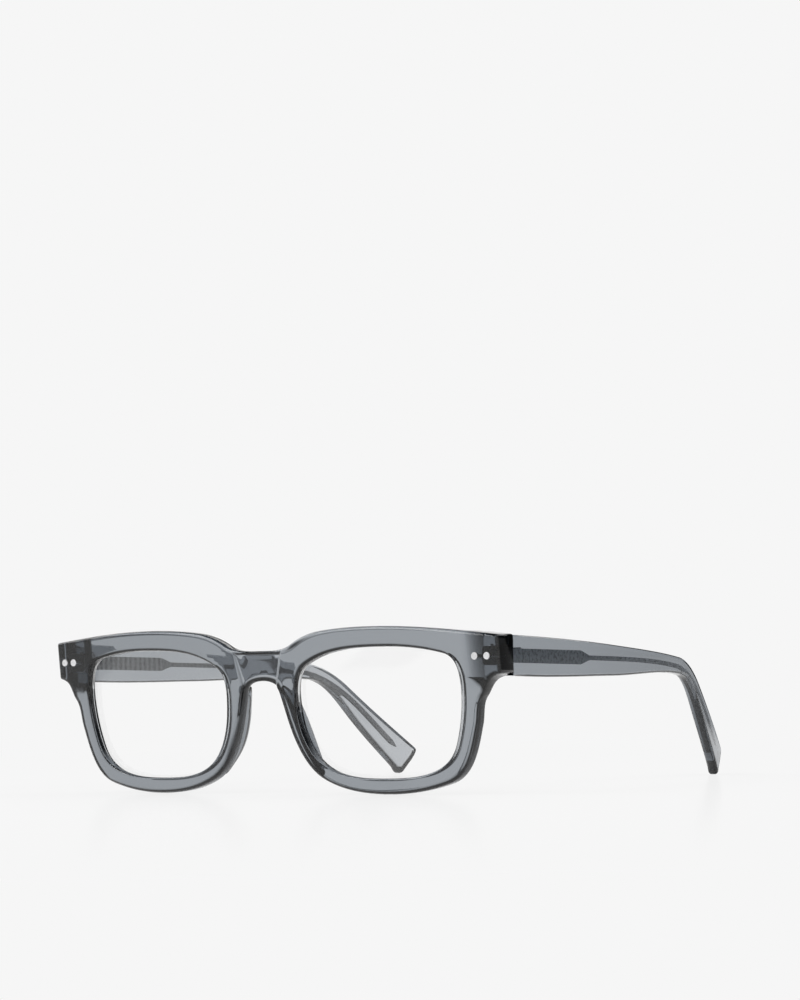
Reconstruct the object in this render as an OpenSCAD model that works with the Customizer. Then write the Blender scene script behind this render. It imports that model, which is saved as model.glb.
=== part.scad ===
// Rectangular reading glasses in clear grey acetate, standing open on the rims and the temple tips.
// Millimetres, +Z up. The front looks along -Y, the temples run back along +Y.
// The right pieces are on the wearer's right, which is -X, and the left ones on +X.

/* [Lenses] */
// Width of one lens opening
lens_w = 49.1; // [47:0.1:51]
// Height of one lens opening
lens_h = 33.55; // [31.5:0.05:35.5]
// Gap between the two lens openings at the nose
bridge_w = 22.2; // [20:0.1:24]
// Thickness of a lens
lens_t = 1.6; // [1.4:0.1:1.9]
// Radius of the lens faces
lens_r = 150; // [130:5:220]

/* [Front] */
// Thickness of the front
front_t = 4; // [3.7:0.1:4.6]
// Radius to which the front is bowed
bow_r = 490; // [440:10:900]
// Angle at which the faces of the front lean, so that the rims' bottoms lie further back
front_tilt = 6; // [3:0.5:8]
// Height of the rim above a lens
rim_top = 5.25; // [4.6:0.05:6]
// Height of the rim below a lens
rim_bottom = 4; // [3.4:0.1:5]
// Width of the rim beside a lens at the temple
rim_side = 4.1; // [3.6:0.1:4.6]
// Width of the rim beside a lens at the nose
rim_nose = 4.4; // [4:0.1:5]
// Width of an end piece outside a lens opening
end_w = 11.3; // [10.9:0.1:12.4]
// Height of an end piece
end_h = 10; // [9.4:0.1:11]
// Height of the bridge
bridge_h = 7.8; // [6.8:0.1:9]
// Depth of the facet milled into the bridge
facet_d = 0.7; // [0.3:0.1:1.2]
// How far a nose pad stands out behind the rim
pad_out = 4.6; // [4:0.1:6]

/* [Temples] */
// Length from the joint to the start of the ear bend
temple_run = 91.5; // [88:0.5:97]
// Distance from the ear bend to the end of the tip
ear_run = 39.6; // [37:0.2:45]
// Thickness of a temple at the hinge
temple_t = 4; // [3.8:0.1:4.4]
// Thickness of a temple at the tip
tip_t = 3.2; // [2.8:0.1:3.6]
// Height of a temple at the ear bend
neck_h = 4.8; // [4.4:0.1:5.6]
// Radius to which a temple curves in towards the head
curl_r = 305; // [285:5:400]
// Thickness of the core wire
wire_t = 1.1; // [0.9:0.1:1.2]
// Height of the thin part of the core wire
wire_h = 1.2; // [1:0.1:1.6]
// Height of the flat end of the core wire
paddle_h = 3.6; // [3.2:0.1:4]
// Length of the flat end of the core wire
paddle_l = 33; // [24:1:34]

/* [Hinges and rivets] */
// Diameter of the hinge knuckles
knuckle_d = 2.6; // [2.4:0.1:2.7]
// Diameter of the hinge screw
screw_d = 1.2; // [1:0.1:1.3]
// Height of a hinge leaf
leaf_h = 4.8; // [4.4:0.1:5.2]
// Diameter of a rivet head
rivet_head_d = 1.86; // [1.6:0.02:2]
// Diameter of a rivet shank
rivet_d = 1.1; // [0.9:0.1:1.2]
// Distance between the two rivets of a hinge
rivet_gap = 3.36; // [3.2:0.02:3.6]

/* [Hidden] */
// Clearance of the screw in a turning knuckle, on the radius
run_fit = 0.04;
// Clearance of the screw and the rivets in a fixed hole, on the radius
slip_fit = 0.02;
// Gap between neighbouring knuckles, and between the front and a temple
joint_gap = 0.08;
// Clearance beside a hinge leaf in its pocket
pocket_fit = 0.05;
// How far a pressed or bonded piece bites into its neighbour
bite = 0.02;
// Reach of a cutting body beyond the face it cuts
over = 1;
// Steps along each stretch of a curve
steps = 8;
$fn = 48;

// Widths, counted from the middle of the nose
half_bridge = bridge_w / 2;
function lens_x(u) = half_bridge + u * lens_w;
function lens_z(w) = rim_bottom + w * lens_h;
lens_cx = lens_x(0.5);
lens_cz = lens_z(0.5);
half_w = lens_x(1) + end_w;
bridge_top = lens_z(1) - 0.55;
bridge_low = bridge_top - bridge_h;
end_top = lens_z(1) + 0.5 * rim_top;
end_low = end_top - end_h;
end_mid = (end_top + end_low) / 2;
front_top = lens_z(1) + rim_top;

// Depths, counted from the bridge's front face. The faces lean about a level line at the end pieces' middle
function front_y(x) = bow_r - sqrt(bow_r * bow_r - x * x);
function lean_y(y, z) = y / cos(front_tilt) - (z - end_mid) * tan(front_tilt);
end_depth = 7.3;
joint_y = front_y(half_w) + end_depth;
temple_y = joint_y + joint_gap;
bend_y = joint_y + temple_run;
tip_y = bend_y + ear_run;

// Curves through nodes given as across, up and heading in degrees
function heading(a) = [cos(a), sin(a)];
function turn(a, b) = (b - a) - 360 * round((b - a) / 360);
function reach(p, q) = norm([q[0] - p[0], q[1] - p[1]]) / (3 * pow(cos(turn(p[2], q[2]) / 4), 2));
function hold(p) = [p[0], p[1]];
function curve(p, q, s) = let(k = reach(p, q), b = hold(p) + k * heading(p[2]), c = hold(q) - k * heading(q[2]))
    pow(1 - s, 3) * hold(p) + 3 * pow(1 - s, 2) * s * b + 3 * (1 - s) * s * s * c + pow(s, 3) * hold(q);
function slope(p, q, s) = let(k = reach(p, q), b = hold(p) + k * heading(p[2]), c = hold(q) - k * heading(q[2]))
    pow(1 - s, 2) * (b - hold(p)) + 2 * (1 - s) * s * (c - b) + s * s * (hold(q) - c);
function left_of(v) = [-v[1], v[0]] / norm(v);
function path(nodes, off = 0) = [
    for (i = [0 : len(nodes) - 2])
        for (j = [0 : steps - 1])
            curve(nodes[i], nodes[i + 1], j / steps) + off * left_of(slope(nodes[i], nodes[i + 1], j / steps))
];

// Lens opening of the left lens, clockwise seen from the front
opening = [
    [lens_x(0.568), lens_z(1), 0],
    [lens_x(0.913), lens_z(0.94), -14.6],
    [lens_x(1), lens_z(0.675), -90],
    [lens_x(0.95), lens_z(0.255), -109.3],
    [lens_x(0.51), lens_z(0), 180],
    [lens_x(0.08), lens_z(0.2), 125],
    [lens_x(0), lens_z(0.643), 90],
    [lens_x(0.065), lens_z(0.865), 31.4],
    [lens_x(0.568), lens_z(1), 0]
];

// Outer edge of the front's left half, clockwise from the top of the bridge
end_round = 0.7;
outer = [
    [0, bridge_top, 0],
    [half_bridge - 0.43, lens_z(1) + 0.217 * rim_top, 31.9],
    [lens_x(0.185), lens_z(1) + 0.836 * rim_top, 7.2],
    [lens_x(0.507), front_top, 0],
    [half_w - end_round, end_top, -6.7],
    [half_w, end_top - end_round, -90],
    [half_w, end_low + end_round, -90],
    [half_w - end_round, end_low, -170],
    [lens_x(1) + 0.77 * end_w, end_low - 0.8, -148],
    [lens_x(1) + 1.4 * rim_side, lens_z(0.617), -130.8],
    [lens_x(1) + 0.93 * rim_side, lens_z(0.412), -105.8],
    [lens_x(0.885), 0.68 * rim_bottom, -161.6],
    [lens_x(0.527), 0, 180],
    [lens_x(0.1415), 0.92 * rim_bottom, 153],
    [half_bridge - 0.352 * rim_nose, lens_z(0.305), 112.6],
    [half_bridge - 1.19 * rim_nose, bridge_low - 3.07, 107.5],
    [0, bridge_low, 180]
];
outer_half = path(outer);
outer_points = concat(
    outer_half,
    [[0, bridge_low]],
    [for (i = [len(outer_half) - 1 : -1 : 1]) [-outer_half[i][0], outer_half[i][1]]]
);
foremost_y = min([for (p = outer_points) lean_y(front_y(p[0]), p[1])]);
back_shift = -(foremost_y + tip_y) / 2;

// Lens seat
tongue_d = 0.55;
tongue_t = 0.9;
lens_gap = 0.04;
lens_tilt = atan((front_y(lens_x(1)) - front_y(lens_x(0))) / lens_w);
lens_y = front_y(lens_cx) + 0.2;

// Bridge facet
facet_top = [0.37 * bridge_w, bridge_top - 0.3];
facet_low = [0.26 * bridge_w, bridge_low - 1.9];

// Nose pads
pad_round = 2.6;
pad_span = 22;
pad_r = (pad_span * pad_span / 4 + pad_out * pad_out) / (2 * pad_out);
pad_x = half_bridge;
pad_z = lens_z(0.4);
pad_lean = 16;
pad_seat = bow_r - sqrt(pow(bow_r - front_t, 2) - pad_x * pad_x);
pad_y = pad_seat + pad_out - pad_r;

// Temple lengthwise shape, seen from the side: back along the temple, up, heading
temple_inset = 0.3;
temple_x = half_w - temple_inset - temple_t / 2;
inner_x = temple_x - temple_t / 2;
curl_y = joint_y + 0.33 * temple_run;
temple_top = end_top - 0.25;
temple_low = end_low - 0.5;
neck_top = temple_top - 6.9;
neck_low = neck_top - neck_h;
arm_outline = [
    [temple_y, temple_top, -2.6],
    [joint_y + 0.53 * temple_run, temple_top - 3.1, -4.8],
    [bend_y, neck_top, -6.6],
    [bend_y + 0.405 * ear_run, neck_top - 7.3, -39],
    [tip_y - 0.7, 7.7, -38.5],
    [tip_y, 6.2, -112],
    [tip_y - 4.3, 0.7, -128],
    [tip_y - 5.4, 0, 180],
    [tip_y - 7.2, 2, 135],
    [bend_y + 0.43 * ear_run, 0.64 * neck_low - 0.3, 131.4],
    [bend_y + 0.07 * ear_run, neck_low, 173.4],
    [joint_y + 0.53 * temple_run, neck_low + 0.5, 179.4],
    [temple_y, temple_low, 176.4]
];

// Temple shape seen from above, and how far the core wire lies inward of its middle at the hinge
core_in = 0.65;
function curl_x(y) = y < curl_y ? temple_x : temple_x - curl_r + sqrt(curl_r * curl_r - pow(y - curl_y, 2));
function arm_t(y) = y < curl_y ? temple_t : temple_t + (tip_t - temple_t) * (y - curl_y) / (tip_y - curl_y);
function core_x(y) = curl_x(y) - core_in * (arm_t(y) - tip_t) / (temple_t - tip_t);
plan_steps = 20;
plan_y = concat([temple_y], [for (i = [0 : plan_steps]) curl_y + (tip_y + over - curl_y) * i / plan_steps]);
core_face_x = temple_x - core_in - wire_t / 2;

// Core wire, seen from the side: a flat end that drops a little and a thin part that follows the temple
paddle_y = temple_y + 0.2;
paddle_end = joint_y + paddle_l;
paddle_z = end_mid - 0.45;
paddle_drop = 1;
core_tip = [tip_y - 6.6, 7.8];
wire_nodes = [
    [paddle_end + 4, paddle_z - paddle_drop - 0.15, -2],
    [bend_y - 2, neck_top - neck_h / 2, -6.6],
    [bend_y + 0.5 * ear_run, 0.64 * (neck_top - neck_h / 2) + 0.4, -40.6],
    [core_tip[0], core_tip[1], -42]
];
wire_low = path(wire_nodes, -wire_h / 2);
core_outline = concat(
    [[paddle_y, paddle_z + paddle_h / 2]],
    [[paddle_end, paddle_z - paddle_drop + paddle_h / 2]],
    path(wire_nodes, wire_h / 2),
    [core_tip],
    [for (i = [len(wire_low) - 1 : -1 : 0]) wire_low[i]],
    [[paddle_end, paddle_z - paddle_drop - paddle_h / 2]],
    [[paddle_y, paddle_z - paddle_h / 2]]
);

// Hinge: three knuckles on the front, two on the temple
knuckle_r = knuckle_d / 2;
screw_r = screw_d / 2;
knuckle_clear = 0.2;
hinge_x = inner_x - knuckle_r - knuckle_clear;
hinge_y = joint_y + knuckle_r + knuckle_clear;
pitch = leaf_h / 5;
knuckle_h = pitch - joint_gap;
neck_in = 0.15;

// Rivets, and the front leaf that they hold
rivet_r = rivet_d / 2;
rivet_head_r = rivet_head_d / 2;
rivet_mid = hinge_x + 1.05;
rivet_x = [rivet_mid - rivet_gap / 2, rivet_mid + rivet_gap / 2];
rivet_z = end_mid - 0.4;
function face_y(x) = lean_y(front_y(x), rivet_z);
rivet_seat = 0.45;
rivet_proud = 0.15;
peen_r = rivet_r + 0.2;
peen_h = 0.3;
leaf_t = 1.2;
leaf_edge = 0.95;
leaf_low_x = rivet_x[0] - leaf_edge;
leaf_high_x = rivet_x[1] + leaf_edge;
leaf_z = rivet_z - leaf_h / 2 + 0.3;
leaf_round = 0.8;
function knuckle_z(i) = leaf_z + i * pitch + joint_gap / 2;

// Cove in which an end piece's inner wall and underside run out into the rim
cove_r = 4.7;
cove_steps = 8;
cove_x = leaf_low_x - 0.6 - cove_r;
cove_z = temple_low - cove_r;
cove_side_d = joint_y - lean_y(front_y(cove_x) + front_t, end_top);
cove_low_d = joint_y - lean_y(front_y(lens_x(1)) + front_t, cove_z);
function cove(d, a) = [cove_r * cos(a), joint_y - d * sin(a)];

// Temple leaf, let into the temple's inner face as far as the core wire
arm_leaf_h = leaf_h - 1.6;
arm_leaf_z = leaf_z + (leaf_h - arm_leaf_h) / 2;
arm_leaf_x = inner_x - 0.5;
arm_leaf_y = hinge_y + knuckle_r - 0.15;
arm_leaf_end = joint_y + 5.8;
arm_root = 0.4;

// Head of the hinge screw
head_r = screw_r + 0.4;
head_h = 0.6;
slot_w = 0.3;
slot_d = 0.3;

// A flat outline across and up, given depth from y0 to y1
module deep(y0, y1) {
    translate([0, y1, 0])
        rotate([90, 0, 0])
            linear_extrude(y1 - y0)
                children();
}

// A flat outline back and up, given width from x0 to x1
module wide(x0, x1) {
    translate([x0, 0, 0])
        rotate([90, 0, 90])
            linear_extrude(x1 - x0)
                children();
}

module placed() {
    translate([0, back_shift, 0])
        children();
}

module on_right() {
    mirror([1, 0, 0])
        children();
}

module leaned() {
    translate([0, 0, end_mid])
        rotate([front_tilt, 0, 0])
            translate([0, 0, -end_mid])
                children();
}

// Everything in front of the cylinder of radius r about the bow's axis is outside it
module bow(r) {
    leaned()
        translate([0, bow_r, -joint_y])
            cylinder(r = r, h = front_top + 2 * joint_y, $fn = 900);
}

// A shell that follows the lens faces, from depth a to depth b behind the lens's front
module lens_shell(a, b) {
    leaned()
        translate([lens_cx - lens_r * sin(lens_tilt), lens_y + lens_r * cos(lens_tilt), lens_cz])
            difference() {
                sphere(r = lens_r - a, $fn = 240);
                sphere(r = lens_r - b, $fn = 240);
            }
}

module lens_groove() {
    intersection() {
        deep(-over, joint_y)
            polygon(path(opening, tongue_d - bite));
        lens_shell((lens_t - tongue_t) / 2 - bite, (lens_t + tongue_t) / 2 + bite);
    }
}

module end_block() {
    intersection() {
        linear_extrude(front_top)
            polygon(concat(
                [for (i = [0 : cove_steps]) [cove_x, 0] + cove(cove_side_d, i * 90 / cove_steps)],
                [[cove_x, front_y(cove_x)]],
                [[half_w + over, front_y(half_w)]],
                [[half_w + over, joint_y]]
            ));
        wide(0, half_w + over)
            polygon(concat(
                [for (i = [0 : cove_steps]) let(c = cove(cove_low_d, i * 90 / cove_steps)) [c[1], cove_z + c[0]]],
                [[0, cove_z]],
                [[0, front_top]],
                [[joint_y, front_top]]
            ));
    }
}

module leaf_outline(grow) {
    w = leaf_high_x - leaf_low_x;
    translate([leaf_low_x - grow, leaf_z - grow])
        union() {
            translate([leaf_round, 0])
                square([w + 2 * grow - 2 * leaf_round, leaf_h + 2 * grow]);
            translate([0, leaf_round])
                square([w + 2 * grow, leaf_h + 2 * grow - 2 * leaf_round]);
            for (x = [leaf_round, w + 2 * grow - leaf_round])
                for (z = [leaf_round, leaf_h + 2 * grow - leaf_round])
                    translate([x, z])
                        circle(r = leaf_round, $fn = 24);
        }
}

module bore_y(x, r, y0, y1) {
    translate([x, y1, rivet_z])
        rotate([90, 0, 0])
            cylinder(r = r, h = y1 - y0, $fn = 64);
}

module left_cuts() {
    deep(-over, joint_y + over)
        polygon(path(opening));
    lens_groove();
    deep(joint_y - leaf_t, joint_y + over)
        leaf_outline(pocket_fit);
    for (x = rivet_x) {
        bore_y(x, rivet_r + slip_fit, -over, joint_y + over);
        bore_y(x, rivet_head_r + slip_fit, -over, face_y(x) + rivet_seat);
    }
}

module front_frame() {
    color([0.45, 0.47, 0.5, 0.6])
        placed()
            difference() {
                intersection() {
                    deep(-over, joint_y)
                        polygon(outer_points);
                    union() {
                        difference() {
                            bow(bow_r);
                            bow(bow_r - front_t);
                        }
                        intersection() {
                            union() {
                                end_block();
                                on_right()
                                    end_block();
                            }
                            bow(bow_r);
                        }
                    }
                }
                left_cuts();
                on_right()
                    left_cuts();
                leaned()
                    deep(-over, facet_d)
                        polygon([
                            [-facet_top[0], facet_top[1]],
                            [facet_top[0], facet_top[1]],
                            [facet_low[0], facet_low[1]],
                            [-facet_low[0], facet_low[1]]
                        ]);
            }
}

module lens() {
    color([0.85, 0.9, 0.92, 0.3])
        placed()
            union() {
                intersection() {
                    deep(-over, joint_y)
                        polygon(path(opening, -lens_gap));
                    lens_shell(0, lens_t);
                }
                intersection() {
                    deep(-over, joint_y)
                        polygon(path(opening, tongue_d));
                    lens_shell((lens_t - tongue_t) / 2, (lens_t + tongue_t) / 2);
                }
            }
}

module left_lens() {
    lens();
}

module right_lens() {
    on_right()
        lens();
}

module nose_pad() {
    color([0.5, 0.52, 0.55, 0.6])
        placed()
            leaned()
                intersection() {
                    translate([pad_x, pad_y, pad_z])
                        rotate([0, -pad_lean, 0])
                            rotate([0, 90, 0])
                                rotate_extrude($fn = 144)
                                    union() {
                                        translate([0, -pad_round])
                                            square([pad_r - pad_round, 2 * pad_round]);
                                        translate([pad_r - pad_round, 0])
                                            circle(r = pad_round, $fn = 72);
                                    }
                    translate([pad_x, pad_seat - bite, 0])
                        rotate([0, 0, asin(pad_x / bow_r)])
                            translate([-pad_x, 0, 0])
                                cube([half_w, pad_out + over, front_top]);
                }
}

module left_nose_pad() {
    nose_pad();
}

module right_nose_pad() {
    on_right()
        nose_pad();
}

module knuckles(which) {
    for (i = which)
        translate([hinge_x, hinge_y, knuckle_z(i)])
            cylinder(r = knuckle_r, h = knuckle_h);
}

module screw_hole(r) {
    translate([hinge_x, hinge_y, leaf_z - over])
        cylinder(r = r, h = leaf_h + 2 * over, $fn = 64);
}

module front_hinge() {
    color([0.62, 0.62, 0.62])
        placed()
            difference() {
                union() {
                    deep(joint_y - leaf_t, joint_y)
                        leaf_outline(0);
                    knuckles([0, 2, 4]);
                    intersection() {
                        deep(joint_y - leaf_t / 2, hinge_y)
                            leaf_outline(0);
                        for (i = [0, 2, 4])
                            translate([hinge_x - knuckle_r + neck_in, 0, knuckle_z(i)])
                                cube([2 * (knuckle_r - neck_in), hinge_y, knuckle_h]);
                    }
                }
                screw_hole(screw_r + slip_fit);
                for (x = rivet_x) {
                    bore_y(x, rivet_r + slip_fit, -over, joint_y);
                    bore_y(x, peen_r + slip_fit, joint_y - peen_h, joint_y + joint_gap);
                }
            }
}

module left_front_hinge() {
    front_hinge();
}

module right_front_hinge() {
    on_right()
        front_hinge();
}

module rivet(x) {
    color([0.8, 0.8, 0.8])
        placed()
            union() {
                bore_y(x, rivet_head_r, face_y(x) - rivet_proud, face_y(x) + rivet_seat);
                bore_y(x, rivet_r, face_y(x), joint_y);
                bore_y(x, peen_r, joint_y - peen_h, joint_y);
            }
}

module left_outer_rivet() {
    rivet(rivet_x[1]);
}

module left_inner_rivet() {
    rivet(rivet_x[0]);
}

module right_outer_rivet() {
    on_right()
        rivet(rivet_x[1]);
}

module right_inner_rivet() {
    on_right()
        rivet(rivet_x[0]);
}

module hinge_screw() {
    top = leaf_z + leaf_h - joint_gap / 2;
    color([0.75, 0.75, 0.75])
        placed()
            translate([hinge_x, hinge_y, 0])
                difference() {
                    union() {
                        translate([0, 0, leaf_z])
                            cylinder(r = screw_r, h = top - leaf_z + head_h / 2, $fn = 64);
                        translate([0, 0, top])
                            cylinder(r = head_r, h = head_h, $fn = 64);
                    }
                    translate([-head_r - over, -slot_w / 2, top + head_h - slot_d])
                        cube([2 * head_r + 2 * over, slot_w, slot_d + over]);
                }
}

module left_hinge_screw() {
    hinge_screw();
}

module right_hinge_screw() {
    on_right()
        hinge_screw();
}

module arm_strip() {
    linear_extrude(front_top + over)
        polygon(concat(
            [for (y = plan_y) [curl_x(y) + arm_t(y) / 2, y]],
            [for (i = [len(plan_y) - 1 : -1 : 0]) [curl_x(plan_y[i]) - arm_t(plan_y[i]) / 2, plan_y[i]]]
        ));
}

module core_solid() {
    intersection() {
        wide(0, half_w)
            polygon(core_outline);
        linear_extrude(front_top)
            polygon(concat(
                [for (y = plan_y) [core_x(y) + wire_t / 2, y]],
                [for (i = [len(plan_y) - 1 : -1 : 0]) [core_x(plan_y[i]) - wire_t / 2, plan_y[i]]]
            ));
    }
}

module temple_arm() {
    color([0.45, 0.47, 0.5, 0.6])
        placed()
            difference() {
                intersection() {
                    wide(0, half_w)
                        polygon(path(concat(arm_outline, [arm_outline[0]])));
                    arm_strip();
                }
                core_solid();
                translate([core_face_x, temple_y - over, paddle_z - paddle_h / 2])
                    cube([wire_t, over + arm_root, paddle_h]);
                translate([hinge_x, 0, arm_leaf_z - pocket_fit])
                    cube([core_face_x - hinge_x, arm_leaf_end + pocket_fit, arm_leaf_h + 2 * pocket_fit]);
            }
}

module left_temple_arm() {
    temple_arm();
}

module right_temple_arm() {
    on_right()
        temple_arm();
}

module core_wire() {
    color([0.4, 0.4, 0.42])
        placed()
            core_solid();
}

module left_core_wire() {
    core_wire();
}

module right_core_wire() {
    on_right()
        core_wire();
}

module temple_hinge() {
    color([0.62, 0.62, 0.62])
        placed()
            difference() {
                union() {
                    translate([arm_leaf_x, arm_leaf_y, arm_leaf_z])
                        cube([core_face_x - arm_leaf_x, arm_leaf_end - arm_leaf_y, arm_leaf_h]);
                    knuckles([1, 3]);
                    for (i = [1, 3])
                        translate([hinge_x, hinge_y - screw_r, knuckle_z(i)])
                            cube([core_face_x - hinge_x, arm_leaf_y + arm_root - hinge_y + screw_r, knuckle_h]);
                }
                screw_hole(screw_r + run_fit);
            }
}

module left_temple_hinge() {
    temple_hinge();
}

module right_temple_hinge() {
    on_right()
        temple_hinge();
}

front_frame();
right_lens();
left_lens();
right_nose_pad();
left_nose_pad();
right_front_hinge();
left_front_hinge();
right_outer_rivet();
right_inner_rivet();
left_outer_rivet();
left_inner_rivet();
right_hinge_screw();
left_hinge_screw();
right_temple_arm();
left_temple_arm();
right_core_wire();
left_core_wire();
right_temple_hinge();
left_temple_hinge();
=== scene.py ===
"""Rectangular reading glasses in clear grey acetate: the looks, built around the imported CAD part."""

import math

import bmesh
import bpy
import numpy as np
from mathutils import Matrix, Vector
from mathutils.geometry import delaunay_2d_cdt


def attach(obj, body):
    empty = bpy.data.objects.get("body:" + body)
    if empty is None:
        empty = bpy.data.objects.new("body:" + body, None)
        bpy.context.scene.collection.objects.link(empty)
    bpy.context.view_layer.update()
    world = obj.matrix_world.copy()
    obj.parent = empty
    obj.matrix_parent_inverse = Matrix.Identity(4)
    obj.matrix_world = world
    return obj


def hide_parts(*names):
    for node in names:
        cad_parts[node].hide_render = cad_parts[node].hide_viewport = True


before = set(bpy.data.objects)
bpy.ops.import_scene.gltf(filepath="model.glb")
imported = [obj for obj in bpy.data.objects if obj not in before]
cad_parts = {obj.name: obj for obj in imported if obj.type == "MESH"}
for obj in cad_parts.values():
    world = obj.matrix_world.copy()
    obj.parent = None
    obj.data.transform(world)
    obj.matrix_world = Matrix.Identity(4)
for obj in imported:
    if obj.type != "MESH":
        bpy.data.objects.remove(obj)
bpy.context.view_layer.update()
MM = 0.001

# Sizes in millimetres, the same as in the part's source
LENS_W, LENS_H, BRIDGE_W, LENS_T, LENS_R = 49.1, 33.55, 22.2, 1.6, 150.0
FRONT_T, BOW_R, TILT = 4.0, 490.0, math.radians(6)
RIM_TOP, RIM_BOTTOM, RIM_SIDE, RIM_NOSE = 5.25, 4.0, 4.1, 4.4
END_W, END_H, BRIDGE_H, FACET_D, PAD_OUT = 11.3, 10.0, 7.8, 0.7, 4.6
TEMPLE_RUN, EAR_RUN, TEMPLE_T, TIP_T, NECK_H, CURL_R = 91.5, 39.6, 4.0, 3.2, 4.8, 305.0
JOINT_GAP, END_DEPTH, END_ROUND, TEMPLE_INSET, PADDLE_L = 0.08, 7.3, 0.7, 0.3, 33.0

HALF_BRIDGE = BRIDGE_W / 2


def lens_x(u):
    """Across, at a share of the lens's width from its nose side."""
    return HALF_BRIDGE + u * LENS_W


def lens_z(w):
    """Up, at a share of the lens's height."""
    return RIM_BOTTOM + w * LENS_H


def bow(x):
    """Depth of the bowed front's face at a place across."""
    return BOW_R - np.sqrt(BOW_R**2 - np.square(x))


LENS_CX, LENS_CZ = lens_x(0.5), lens_z(0.5)
HALF_W = lens_x(1) + END_W
BRIDGE_TOP = lens_z(1) - 0.55
BRIDGE_LOW = BRIDGE_TOP - BRIDGE_H
END_TOP = lens_z(1) + 0.5 * RIM_TOP
END_LOW = END_TOP - END_H
END_MID = (END_TOP + END_LOW) / 2
FRONT_TOP = lens_z(1) + RIM_TOP
JOINT_Y = float(bow(HALF_W)) + END_DEPTH
TEMPLE_Y = JOINT_Y + JOINT_GAP
BEND_Y = JOINT_Y + TEMPLE_RUN
TIP_Y = BEND_Y + EAR_RUN


def lean(y, z):
    """Depth of a point of the leaning front, from its depth square to the faces and its height."""
    return y / math.cos(TILT) - (z - END_MID) * math.tan(TILT)


# Curves through nodes of across, up and heading in degrees
def curve(nodes, step=0.4, least=4, closed=False):
    """Points along the curve, and the last one too unless it is closed."""
    out = []
    for (x0, z0, a0), (x1, z1, a1) in zip(nodes[:-1], nodes[1:]):
        chord = math.hypot(x1 - x0, z1 - z0)
        bend = (a1 - a0 + 180) % 360 - 180
        arm = chord / (3 * math.cos(math.radians(bend) / 4) ** 2)
        p, q = np.array([x0, z0]), np.array([x1, z1])
        b = p + arm * np.array([math.cos(math.radians(a0)), math.sin(math.radians(a0))])
        c = q - arm * np.array([math.cos(math.radians(a1)), math.sin(math.radians(a1))])
        n = max(least, math.ceil(chord / step))
        s = np.linspace(0, 1, n, endpoint=False)[:, None]
        out.append((1 - s) ** 3 * p + 3 * (1 - s) ** 2 * s * b + 3 * (1 - s) * s * s * c + s**3 * q)
    if not closed:
        out.append(np.array([nodes[-1][:2]]))
    return np.concatenate(out)


OPENING = [
    (lens_x(0.568), lens_z(1), 0),
    (lens_x(0.913), lens_z(0.94), -14.6),
    (lens_x(1), lens_z(0.675), -90),
    (lens_x(0.95), lens_z(0.255), -109.3),
    (lens_x(0.51), lens_z(0), 180),
    (lens_x(0.08), lens_z(0.2), 125),
    (lens_x(0), lens_z(0.643), 90),
    (lens_x(0.065), lens_z(0.865), 31.4),
    (lens_x(0.568), lens_z(1), 0),
]
OUTER = [
    (0, BRIDGE_TOP, 0),
    (HALF_BRIDGE - 0.43, lens_z(1) + 0.217 * RIM_TOP, 31.9),
    (lens_x(0.185), lens_z(1) + 0.836 * RIM_TOP, 7.2),
    (lens_x(0.507), FRONT_TOP, 0),
    (HALF_W - END_ROUND, END_TOP, -6.7),
    (HALF_W, END_TOP - END_ROUND, -90),
    (HALF_W, END_LOW + END_ROUND, -90),
    (HALF_W - END_ROUND, END_LOW, -170),
    (lens_x(1) + 0.77 * END_W, END_LOW - 0.8, -148),
    (lens_x(1) + 1.4 * RIM_SIDE, lens_z(0.617), -130.8),
    (lens_x(1) + 0.93 * RIM_SIDE, lens_z(0.412), -105.8),
    (lens_x(0.885), 0.68 * RIM_BOTTOM, -161.6),
    (lens_x(0.527), 0, 180),
    (lens_x(0.1415), 0.92 * RIM_BOTTOM, 153),
    (HALF_BRIDGE - 0.352 * RIM_NOSE, lens_z(0.305), 112.6),
    (HALF_BRIDGE - 1.19 * RIM_NOSE, BRIDGE_LOW - 3.07, 107.5),
    (0, BRIDGE_LOW, 180),
]

TEMPLE_X = HALF_W - TEMPLE_INSET - TEMPLE_T / 2
CURL_Y = JOINT_Y + 0.33 * TEMPLE_RUN
TEMPLE_TOP = END_TOP - 0.25
TEMPLE_LOW = END_LOW - 0.5
NECK_TOP = TEMPLE_TOP - 6.9
NECK_LOW = NECK_TOP - NECK_H
ARM = [
    (TEMPLE_Y, TEMPLE_TOP, -2.6),
    (JOINT_Y + 0.53 * TEMPLE_RUN, TEMPLE_TOP - 3.1, -4.8),
    (BEND_Y, NECK_TOP, -6.6),
    (BEND_Y + 0.405 * EAR_RUN, NECK_TOP - 7.3, -39),
    (TIP_Y - 0.7, 7.7, -38.5),
    (TIP_Y, 6.2, -112),
    (TIP_Y - 4.3, 0.7, -128),
    (TIP_Y - 5.4, 0, 180),
    (TIP_Y - 7.2, 2, 135),
    (BEND_Y + 0.43 * EAR_RUN, 0.64 * NECK_LOW - 0.3, 131.4),
    (BEND_Y + 0.07 * EAR_RUN, NECK_LOW, 173.4),
    (JOINT_Y + 0.53 * TEMPLE_RUN, NECK_LOW + 0.5, 179.4),
    (TEMPLE_Y, TEMPLE_LOW, 176.4),
]


def curl_x(y):
    """Across, of the middle of the arm's thickness, which curls in on an arc."""
    back = np.maximum(np.asarray(y, float) - CURL_Y, 0)
    return TEMPLE_X - CURL_R + np.sqrt(CURL_R**2 - back**2)


def arm_t(y):
    """Thickness of the arm, which tapers along the curl."""
    back = np.maximum(np.asarray(y, float) - CURL_Y, 0)
    return TEMPLE_T + (TIP_T - TEMPLE_T) * back / (TIP_Y - CURL_Y)


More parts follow.
